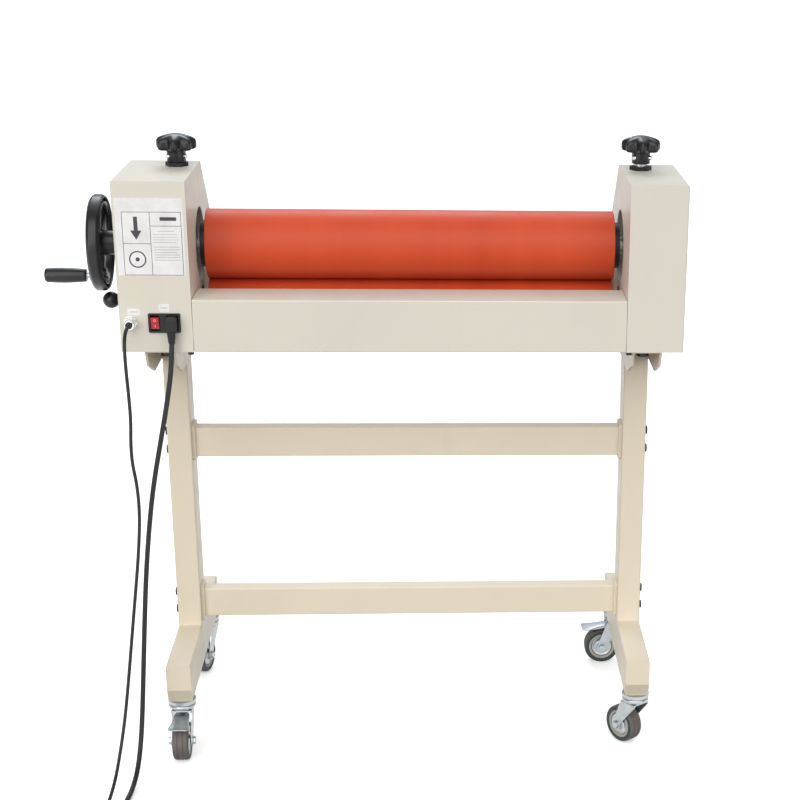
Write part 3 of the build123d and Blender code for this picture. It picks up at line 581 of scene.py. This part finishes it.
def arm_data(place, angle):
    """A handwheel spoke: rounded sections that narrow from the hub to the rim and swell where they join."""
    turn = Matrix.Rotation(angle, 4, "X")
    around = 20
    vertices = []
    for reach, half_width, half_depth, shift in ARM_SECTIONS:
        for index in range(around):
            t = 2 * math.pi * index / around
            c, s = math.cos(t), math.sin(t)
            across = math.copysign(abs(c) ** 0.6, c) * half_width
            deep = math.copysign(abs(s) ** 0.6, s) * half_depth + shift
            vertices.append(place @ (turn @ (Vector((deep, across, reach)) * MM)))
    faces = []
    for row in range(len(ARM_SECTIONS) - 1):
        for index in range(around):
            after = (index + 1) % around
            low = row * around
            faces.append((low + index, low + after, low + around + after, low + around + index))
    faces.append(tuple(range(around))[::-1])
    last = (len(ARM_SECTIONS) - 1) * around
    faces.append(tuple(range(last, last + around)))
    return vertices, faces


def make_handwheel():
    """A moulded handwheel: a hollow-backed rim, three spokes, a hub and a boss for the turning grip."""
    low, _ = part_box("handwheel")
    axis, _ = joint_place("upper_roller_spin")
    wheel_x = low.x + WHEEL_INSET * MM
    place = frame_along(Vector((wheel_x, axis.y, axis.z)), (1, 0, 0))
    rim = softened([
        (-6.5, 61.2), (-10.5, 64.5), (-10.5, 71.0), (-6.0, 76.0), (6.0, 76.0), (10.5, 73.6),
        (10.5, 71.6), (1.5, 70.6), (1.5, 66.2), (10.5, 65.2), (10.5, 63.2), (7.0, 61.2),
    ], 1.8, closed=True)
    hub = softened([
        (-6.5, 0), (-6.5, 13), (-4.0, 19.0), (0, 20.5), (8, 20.0),
        (24, 18.6), (26, 17.5), (26, 15.0), (18, 15.0), (18, 0),
    ], 1.6)
    parts = [lathe_data(place, rim, True, 160), lathe_data(place, hub, False, 96)]
    for index in range(ARMS):
        parts.append(arm_data(place, math.pi + 2 * math.pi * index / ARMS))
    orbit = axis.z - joint_place("handwheel_grip_spin")[0].z
    boss_place = frame_along(Vector((wheel_x, axis.y, axis.z - orbit)), (1, 0, 0))
    boss = softened([
        (-12, 4.9), (-12, 11.5), (-10.5, 13.0), (-2, 13.2), (6, 13.0), (7.4, 11.5), (7.4, 4.9),
    ], 1.0)
    parts.append(lathe_data(boss_place, boss, False, 64))
    vertices, faces = gather(parts)
    mesh = mesh_of("handwheel_moulding", vertices, faces)
    wheel = link_piece("handwheel_moulding", mesh, "knob_black", "upper_roller", 40)
    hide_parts("handwheel")


def make_grip():
    """The handwheel's turning grip: a slim barrel with a rounded end."""
    low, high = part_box("handwheel_grip")
    axis, _ = joint_place("handwheel_grip_spin")
    place = frame_along(Vector((high.x, axis.y, axis.z)), (-1, 0, 0))
    length = (high.x - low.x) / MM
    outline = [(0.0, 5.1), (0.0, 9.2), (1.2, 10.0)]
    for index in range(25):
        t = index / 24
        along = 1.6 + (length - 6.0) * t
        radius = 10.2 + 2.2 * math.sin(math.pi * min(1, t * 1.15) * 0.62) - 0.9 * t ** 3
        outline.append((along, radius))
    end_radius = outline[-1][1]
    start = outline[-1][0]
    for index in range(1, 9):
        t = index / 8 * math.pi / 2
        outline.append((start + (length - start) * math.sin(t), end_radius - 5.0 * (1 - math.cos(t))))
    outline += [(length - 0.6, end_radius - 6.5), (length - 0.8, 0)]
    grip = lathe("handwheel_grip_barrel", place, outline, "knob_black", "handwheel_grip",
                 segments=96, sharp=45)
    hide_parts("handwheel_grip")


# ---------------------------------------------------------------- controls and labels

def flat_sheet(x0, x1, z0, z1, lift, corner=1.2):
    """A thin sheet stuck on the cabinet's front plane; sizes in layout millimetres."""
    place = frame_along(at(0, 0, 0), (0, -1, 0))
    outline = softened([(x0, z0), (x0, z1), (x1, z1), (x1, z0)], corner, closed=True)
    return prism_data(place, outline, *lift)


def stuck(name, parts, material):
    """Join flat parts into one piece on the frame."""
    vertices, faces = gather(parts)
    return link_piece(name, mesh_of(name, vertices, faces), material, "frame", 30)


def make_labels():
    """A plain instruction sheet with ruled frames and generic marks, and two small blank slips."""
    sheet = (-0.1, 0.30)
    ink = (0.28, 0.38)
    stuck("label_sheet", [flat_sheet(-445, -343, 815, 933, sheet)], "label_white")
    x0, x1, z0, z1 = -434.6, -346.4, 816, 912
    middle, split, header = -393, 864, 891
    half = 0.38
    lines = [
        (x0 - half, x1 + half, z1 - half, z1 + half), (x0 - half, x1 + half, z0 - half, z0 + half),
        (x0 - half, x0 + half, z0, z1), (x1 - half, x1 + half, z0, z1),
        (middle - half, middle + half, z0, z1), (x0, middle, split - half, split + half),
        (middle, x1, header - half, header + half),
    ]
    marks = [flat_sheet(*line, ink, 0.05) for line in lines]
    marks.append(flat_sheet(-378, -353, 899, 904.5, ink, 0.3))
    arrow = [
        (-417.5, 905), (-411.5, 905), (-411.5, 884), (-406, 884), (-414.5, 870), (-423, 884), (-417.5, 884),
    ]
    place = frame_along(at(0, 0, 0), (0, -1, 0))
    marks.append(prism_data(place, softened(arrow, 0.4, closed=True), *ink))
    ring_place = frame_along(at(-0.4145, 0, 0.840), (0, -1, 0))
    marks.append(lathe_data(ring_place, [(0.28, 11), (0.38, 11), (0.38, 13), (0.28, 13)], True, 64))
    marks.append(lathe_data(ring_place, [(0.28, 0), (0.38, 0), (0.38, 3.2), (0.28, 3.2)], True, 32))
    stuck("label_rules", marks, "label_ink")
    grey = []
    rows = [(883, 0.45)] + [(878 - 4 * i, 1) for i in range(4)] + [(859 - 4 * i, 1) for i in range(6)]
    for z, share in rows:
        left = middle + 4 + (1 - share) * 12 + RANDOM.uniform(0, 0.8)
        right = x1 - 4 - (1 - share) * 12 - RANDOM.uniform(0, 5) * (RANDOM.random() < 0.4)
        grey.append(flat_sheet(left, right, z - 0.55, z + 0.55, (0.28, 0.36), 0.1))
    stuck("label_lines", grey, "label_grey")
    slips = [
        flat_sheet(-435.5, -416.5, 753.5, 763.5, sheet),
        flat_sheet(-388, -371.5, 758.8, 771.2, sheet),
    ]
    stuck("label_slips", slips, "label_white")
    rules = [
        flat_sheet(-432.5, -419.5, 757.8, 759.2, ink, 0.1),
        flat_sheet(-385, -374.5, 764.2, 765.6, ink, 0.1),
    ]
    stuck("slip_lines", rules, "label_grey")


def make_round_connector():
    """The foot switch's metal plug: a knurled nut, a plain sleeve and a tapered rubber boot."""
    low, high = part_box("pedal_connector")
    socket_low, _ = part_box("foot_switch_socket")
    middle = (low + high) / 2
    place = frame_along(Vector((middle.x, socket_low.y + 4 * MM, middle.z)), (0, -1, 0))
    knurl = softened([(4.2, 6), (4.2, 8.6), (4.8, 9.2), (12.6, 9.2), (13.2, 8.6), (13.2, 8.0)], 0.25)
    sleeve = softened([(13.2, 8.3), (20.6, 8.1), (21.6, 7.2), (22.2, 5.6), (22.2, 3)], 0.4)
    parts = [
        lathe_data(place, knurl, False, 144, lambda a, r, t: 0.16 * math.cos(36 * t) if r > 8.5 else 0),
        lathe_data(place, sleeve, False, 72),
    ]
    vertices, faces = gather(parts)
    mesh = mesh_of("foot_plug_sleeve", vertices, faces)
    metal_part = link_piece("foot_plug_sleeve", mesh, "chrome_ring", "frame", 30)
    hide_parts("pedal_connector")
    boot = [(21.0, 0), (21.0, 5.6), (23.4, 5.6)]
    for index in range(5):
        along = 23.8 + 2.2 * index
        boot += [
            (along, 5.3 - 0.38 * index), (along + 1.5, 5.2 - 0.38 * index),
            (along + 1.7, 4.5 - 0.32 * index), (along + 2.1, 4.5 - 0.32 * index),
        ]
    boot += [(34.5, 3.3), (34.5, 2.6)]
    lathe("foot_plug_boot", place, boot, "black_plastic", "frame", segments=48)


def make_inlet_detail():
    """Ribs on the mains connector's strain relief, and its grip ridges."""
    top = at(-0.369, -0.014, 0.712)
    place = frame_along(top, (0, 0, 1), Vector((1, 0, 0)))
    ribs = []
    for index in range(5):
        along = 1.5 + 3.4 * index
        radius = 4.75 + 0.32 * index
        rib = softened([
            (along, radius - 1), (along, radius + 0.55),
            (along + 1.7, radius + 0.65), (along + 1.7, radius - 1),
        ], 0.3)
        ribs.append(lathe_data(place, rib, False, 40))
    vertices, faces = gather(ribs)
    mesh = mesh_of("mains_relief_ribs", vertices, faces)
    link_piece("mains_relief_ribs", mesh, "black_plastic", "frame", 40)
    ridges = []
    low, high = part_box("iec_connector")
    for index in range(4):
        z = high.z - (5.5 + 3.4 * index) * MM
        for x in (low.x - 0.4 * MM, high.x - 0.3 * MM):
            start = Vector((x, low.y + 4 * MM, z))
            end = Vector((x + 0.7 * MM, low.y + 15 * MM, z + 1.5 * MM))
            ridges.append(box_data(start, end))
    vertices, faces = gather(ridges)
    mesh = mesh_of("mains_grip_ridges", vertices, faces)
    bevel(link_piece("mains_grip_ridges", mesh, "black_plastic", "frame"), 0.0003)


def make_rocker_marks():
    """A pale ring on the rocker's upper face and a pale bar on its lower one."""
    low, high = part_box("rocker")
    middle = (low.x + high.x) / 2
    upper = at(0, -0.0051, 0.74625)
    lower = at(0, -0.0029, 0.73675)
    ring = frame_along(Vector((middle, upper.y, upper.z)), (0, -0.98, -0.196))
    bar = frame_along(Vector((middle, lower.y, lower.z)), (0, -0.968, -0.252))
    under, over = -0.1, 0.15
    parts = [
        lathe_data(ring, [(under, 1.2), (over, 1.2), (over, 1.9), (under, 1.9)], True, 40),
        prism_data(bar, [(-0.4, -1.9), (0.4, -1.9), (0.4, 1.9), (-0.4, 1.9)], under, over),
    ]
    vertices, faces = gather(parts)
    mesh = mesh_of("rocker_marks", vertices, faces)
    link_piece("rocker_marks", mesh, "label_white", "rocker", 30)


# ---------------------------------------------------------------- casters

TREAD = [
    (-11.8, 24.0), (-12.9, 25.5), (-13.0, 28.5), (-12.3, 30.6), (-10.6, 32.0), (-8.0, 32.4), (-5.2, 32.5),
    (-4.9, 31.5), (-3.7, 31.5), (-3.4, 32.5), (3.4, 32.5), (3.7, 31.5), (4.9, 31.5), (5.2, 32.5),
    (8.0, 32.4), (10.6, 32.0), (12.3, 30.6), (13.0, 28.5), (12.9, 25.5), (11.8, 24.0),
]
HUB = [
    (-14.4, 4.1), (-14.4, 8.2), (-13.9, 9.0), (-11.6, 9.4), (-10.2, 11.5), (-10.4, 15.0), (-11.4, 17.2),
    (-11.2, 18.6), (-9.5, 18.8), (9.5, 18.8), (11.2, 18.6), (11.4, 17.2), (10.4, 15.0), (10.2, 11.5),
    (11.6, 9.4), (13.9, 9.0), (14.4, 8.2), (14.4, 4.1),
]


def make_caster_wheel(name):
    """A grooved tread, darker tyre sides, a pale inner ring and a pressed hub."""
    centre, axis = joint_place(name + "_roll")
    place = frame_along(centre, axis)
    body = name + "_wheel"
    profile = softened(TREAD, 0.5, closed=True, steps=3)
    tread = lathe(body + "_tread", place, profile, "tyre_rubber", body,
                  closed=True, segments=128)
    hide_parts("caster_" + name + "_wheel")
    sides = []
    rings = []
    for side in (-1, 1):
        wall = [(12.0, 24.2), (13.15, 24.4), (13.3, 26.0), (13.25, 28.4), (12.7, 30.2), (11.6, 30.6)]
        sides.append(lathe_data(place, [(side * a, r) for a, r in softened(wall, 0.5)], False, 128))
        inner = [(8.0, 19.4), (12.0, 19.6), (12.5, 20.4), (12.6, 22.4), (12.2, 24.3), (11.0, 24.6)]
        rings.append(lathe_data(place, [(side * a, r) for a, r in softened(inner, 0.5)], False, 128))
    vertices, faces = gather(sides)
    link_piece(body + "_sides", mesh_of("tyre_sides", vertices, faces), "tyre_side", body)
    vertices, faces = gather(rings)
    link_piece(body + "_rings", mesh_of("tyre_rings", vertices, faces), "tyre_inner", body)
    profile = softened(HUB, 0.6, closed=True, steps=3)
    lathe(body + "_hub", place, profile, "zinc_plate", body, closed=True, segments=96)


def fork_sheet(name, place):
    """A folded fork: a channel section cut to the cheek's outline by an intersection."""
    section = softened([
        (-17.5, 22), (-17.5, 83), (17.5, 83), (17.5, 22), (15, 22), (15, 80.5), (-15, 80.5), (-15, 22),
    ], 3.0, closed=True)
    outline = [(-15.5, 84), (17.5, 84), (18.5, 79)]
    for index in range(13):
        t = math.radians(25 - index * 18.5)
        outline.append((26 + 9.5 * math.cos(t), 32.5 + 9.5 * math.sin(t)))
    outline += [(13.5, 42), (-12.5, 74), (-15.5, 78)]
    vertices, faces = prism_data(place, section, -20, 44)
    channel = mesh_of(name, vertices, faces)
    turned = place @ Matrix.Rotation(-math.pi / 2, 4, "Z")
    vertices, faces = prism_data(turned, outline, -30, 30)
    return channel, mesh_of(name + "_cut", vertices, faces)


def make_fork(name):
    """A pressed fork with its ball race, axle bolt heads and rounded cheeks."""
    pivot, _ = joint_place(name + "_swivel")
    centre, axis = joint_place(name + "_roll")
    trail = centre - pivot
    trail.z = 0
    place = frame_along(Vector((pivot.x, pivot.y, 0)), trail)
    body = name + "_fork"
    channel, cutter = fork_sheet(body, place)
    fork = link_piece(body + "_sheet", channel, "zinc_plate", body, 30)
    tool = bpy.data.objects.new("cutter", cutter)
    bpy.context.scene.collection.objects.link(tool)
    cut = fork.modifiers.new("outline", "BOOLEAN")
    cut.operation = "INTERSECT"
    cut.solver = "EXACT"
    cut.object = tool
    bpy.context.view_layer.update()
    evaluated = fork.evaluated_get(bpy.context.evaluated_depsgraph_get())
    result = bpy.data.meshes.new_from_object(evaluated)
    fork.modifiers.clear()
    fork.data = result
    bpy.data.objects.remove(tool)
    bevel(fork, 0.0005, 2, 50)
    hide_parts("caster_" + name + "_fork")
    up = frame_along(Vector((pivot.x, pivot.y, 0)), (0, 0, 1), Vector((1, 0, 0)))
    race = softened([
        (82.6, 7), (82.6, 17.0), (84.0, 20.4), (86.2, 22.4), (89.0, 22.8),
        (91.0, 22.0), (92.0, 20.6), (92.6, 18.4), (92.6, 7),
    ], 0.8, steps=4)
    lathe(body + "_race", up, race, "zinc_plate", body, segments=96)
    bolts = []
    for side in (-1, 1):
        nut = frame_along(centre + axis * side * 17.4 * MM, axis * side)
        hexagon = [(6.6 * math.cos(math.pi * k / 3), 6.6 * math.sin(math.pi * k / 3)) for k in range(6)]
        bolts.append(prism_data(nut, hexagon, 0.9, 4.9))
        washer = softened([(-0.3, 0), (-0.3, 8.0), (1.0, 8.0), (1.0, 0)], 0.3)
        bolts.append(lathe_data(nut, washer, False, 40))
    vertices, faces = gather(bolts)
    nuts = mesh_of("axle_nuts", vertices, faces)
    bevel(link_piece(body + "_axle_nuts", nuts, "zinc_plate", body, 30), 0.0005)


LEVER_SECTIONS = [
    (8, 11.0, 76.2, 2.4), (14, 12.0, 77.0, 3.4), (24, 12.6, 76.0, 4.4), (34, 13.2, 74.2, 4.2),
    (43, 14.8, 72.0, 2.8), (50, 17.4, 70.4, 1.4), (56, 18.2, 69.6, 0.5), (61, 17.0, 69.6, 0.2),
    (64.5, 12.5, 70.0, 0.1),
]


def make_brake(name):
    """A pressed brake lever that flares into a foot pad, with the rubber shoe under it."""
    pivot, _ = joint_place(name + "_swivel")
    centre, _ = joint_place(name + "_roll")
    trail = centre - pivot
    trail.z = 0
    place = frame_along(Vector((pivot.x, pivot.y, 0)), trail)
    body = name + "_brake"
    across = (-1, -0.97, -0.8, -0.4, 0, 0.4, 0.8, 0.97, 1)
    vertices = []
    for u, half, z, lip in LEVER_SECTIONS:
        for share in across:
            drop = lip if abs(share) == 1 else (0.25 * lip if abs(share) > 0.9 else 0)
            crown = 0.5 * (1 - share * share)
            vertices.append(place @ (Vector((u, half * share, z - 1.2 + crown - drop)) * MM))
    faces = []
    columns = len(across)
    for row in range(len(LEVER_SECTIONS) - 1):
        for column in range(columns - 1):
            low = row * columns + column
            faces.append((low, low + 1, low + columns + 1, low + columns))
    mesh = mesh_of(body, vertices, faces)
    lever = link_piece(body + "_lever", mesh, "zinc_plate", body, 180)
    smooth = lever.modifiers.new("smooth", "SUBSURF")
    smooth.levels = 2
    smooth.render_levels = 2
    sheet = lever.modifiers.new("sheet", "SOLIDIFY")
    sheet.thickness = 0.0014
    sheet.offset = 0
    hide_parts("caster_" + name + "_brake")
    shoe = softened([(-9, 62.8), (-9, 69.5), (9, 69.5), (9, 62.8)], 1.5, closed=True)
    vertices, faces = prism_data(place, shoe, 37.5, 46)
    mesh = mesh_of("shoe", vertices, faces)
    bevel(link_piece(body + "_shoe", mesh, "black_plastic", body), 0.0006)


def make_casters():
    """Four swivel casters, two of them with a brake."""
    for name, brake in CASTERS:
        make_caster_wheel(name)
        make_fork(name)
        if brake:
            make_brake(name)


# ---------------------------------------------------------------- stage

def make_floor():
    """A plain pale floor."""
    size = 90
    mesh = bpy.data.meshes.new("floor")
    corners = [(-size, -size, 0), (size, -size, 0), (size, size, 0), (-size, size, 0)]
    mesh.from_pydata(corners, [], [(0, 1, 2, 3)])
    material, tree, shader = new_tree("floor_look")
    vector = object_vector(tree)
    base = ramp(tree, noise(tree, vector, 1.3, 3), [
        (0.3, (0.900, 0.898, 0.892)), (0.7, (0.925, 0.924, 0.920)),
    ])
    tree.links.new(base, shader.inputs["Base Color"])
    shader.inputs["Roughness"].default_value = 0.75
    shader.inputs["Specular IOR Level"].default_value = 0.2
    shader.inputs["Emission Color"].default_value = (1, 1, 1, 1)
    shader.inputs["Emission Strength"].default_value = 0.35
    mesh.materials.append(material)
    floor = bpy.data.objects.new("floor", mesh)
    bpy.context.scene.collection.objects.link(floor)
    floor.visible_diffuse = False


def make_backdrop():
    """A white wall all round the floor; only the camera sees it."""
    radius = 60
    height = 60
    sides = 96
    rim = []
    for index in range(sides):
        angle = 2 * math.pi * index / sides
        rim.append((radius * math.cos(angle), radius * math.sin(angle)))
    vertices = [(x, y, z) for z in (-1, height) for x, y in rim]
    faces = [(i, (i + 1) % sides, (i + 1) % sides + sides, i + sides) for i in range(sides)]
    faces.append(tuple(range(sides, 2 * sides)))
    mesh = bpy.data.meshes.new("backdrop")
    mesh.from_pydata(vertices, [], faces)
    material, tree, shader = new_tree("backdrop_look")
    patches = noise(tree, object_vector(tree), 0.05, 2)
    base = ramp(tree, patches, [(0.3, (0.97, 0.97, 0.97)), (0.7, (1, 1, 1))])
    tree.links.new(base, shader.inputs["Base Color"])
    shader.inputs["Emission Color"].default_value = (1, 1, 1, 1)
    shader.inputs["Emission Strength"].default_value = 1
    mesh.materials.append(material)
    backdrop = bpy.data.objects.new("backdrop", mesh)
    bpy.context.scene.collection.objects.link(backdrop)
    for kind in ("diffuse", "glossy", "transmission", "volume_scatter", "shadow"):
        setattr(backdrop, "visible_" + kind, False)


def area_light(name, place, target, size, power, colour=(1, 1, 1)):
    """A square soft light that faces a target."""
    lamp = bpy.data.lights.new(name, "AREA")
    lamp.shape = "SQUARE"
    lamp.size = size
    lamp.energy = power
    lamp.color = colour
    holder = bpy.data.objects.new(name, lamp)
    holder.location = place
    holder.rotation_euler = (Vector(target) - Vector(place)).to_track_quat("-Z", "Y").to_euler()
    holder.visible_camera = False
    bpy.context.scene.collection.objects.link(holder)


def soft_sun(name, power, tilt, turn, spread, colour):
    """Even light from one side of the sky; tilt is from the vertical and turn about it, in degrees."""
    lamp = bpy.data.lights.new(name, "SUN")
    lamp.energy = power
    lamp.angle = math.radians(spread)
    lamp.color = colour
    holder = bpy.data.objects.new(name, lamp)
    holder.rotation_euler = (math.radians(tilt), 0, math.radians(turn))
    bpy.context.scene.collection.objects.link(holder)


def make_surround():
    """A pale surround, dimmer below the horizon."""
    world = bpy.data.worlds.new("surround")
    bpy.context.scene.world = world
    world.use_nodes = True
    tree = world.node_tree
    direction = tree.nodes.new("ShaderNodeTexCoord")
    split = tree.nodes.new("ShaderNodeSeparateXYZ")
    tree.links.new(direction.outputs["Generated"], split.inputs["Vector"])
    rise = span(tree, split.outputs["Z"], 0, 1, -0.25, 0.45)
    colour = ramp(tree, rise, [(0, (0.36, 0.355, 0.345)), (1, (1, 0.99, 0.975))])
    background = tree.nodes["Background"]
    tree.links.new(colour, background.inputs["Color"])
    background.inputs["Strength"].default_value = 0.50


def make_lights():
    """The surround, a wide soft key, a weak cool one behind, and three soft boxes."""
    make_surround()
    soft_sun("key", 1.95, 55, -10, 60, (1, 0.995, 0.985))
    soft_sun("rear_key", 0.78, 34, 172, 60, (0.84, 0.93, 1))
    middle = (0, 0, 0.55)
    area_light("front_left", (-2.2, -3.0, 1.15), middle, 1.4, 24, (1, 0.98, 0.95))
    area_light("front_right", (2.4, -2.8, 1.15), middle, 1.4, 19, (1, 0.98, 0.95))
    area_light("rear_glow", (-0.4, 3.0, 3.6), (0, 0, 0.7), 2.0, 46, (0.88, 0.95, 1))
    bpy.context.scene.view_settings.view_transform = "Standard"


def dress_nodes():
    """Give every CAD node the look of its own slot."""
    for node in NODES.values():
        node.data.materials[0] = MATERIALS[node.data.materials[0].name.split(".")[0]]
        node.data.set_sharp_from_angle(angle=math.radians(30))
    NODES["roller_collars"].data.materials[0] = MATERIALS["black_steel"]


make_camera()
MATERIALS = make_materials()
make_power_cord()
make_pedal_cord()
dress_nodes()
make_star_knobs()
make_handwheel()
make_grip()
make_labels()
make_round_connector()
make_inlet_detail()
make_rocker_marks()
make_casters()
make_floor()
make_backdrop()
make_lights()
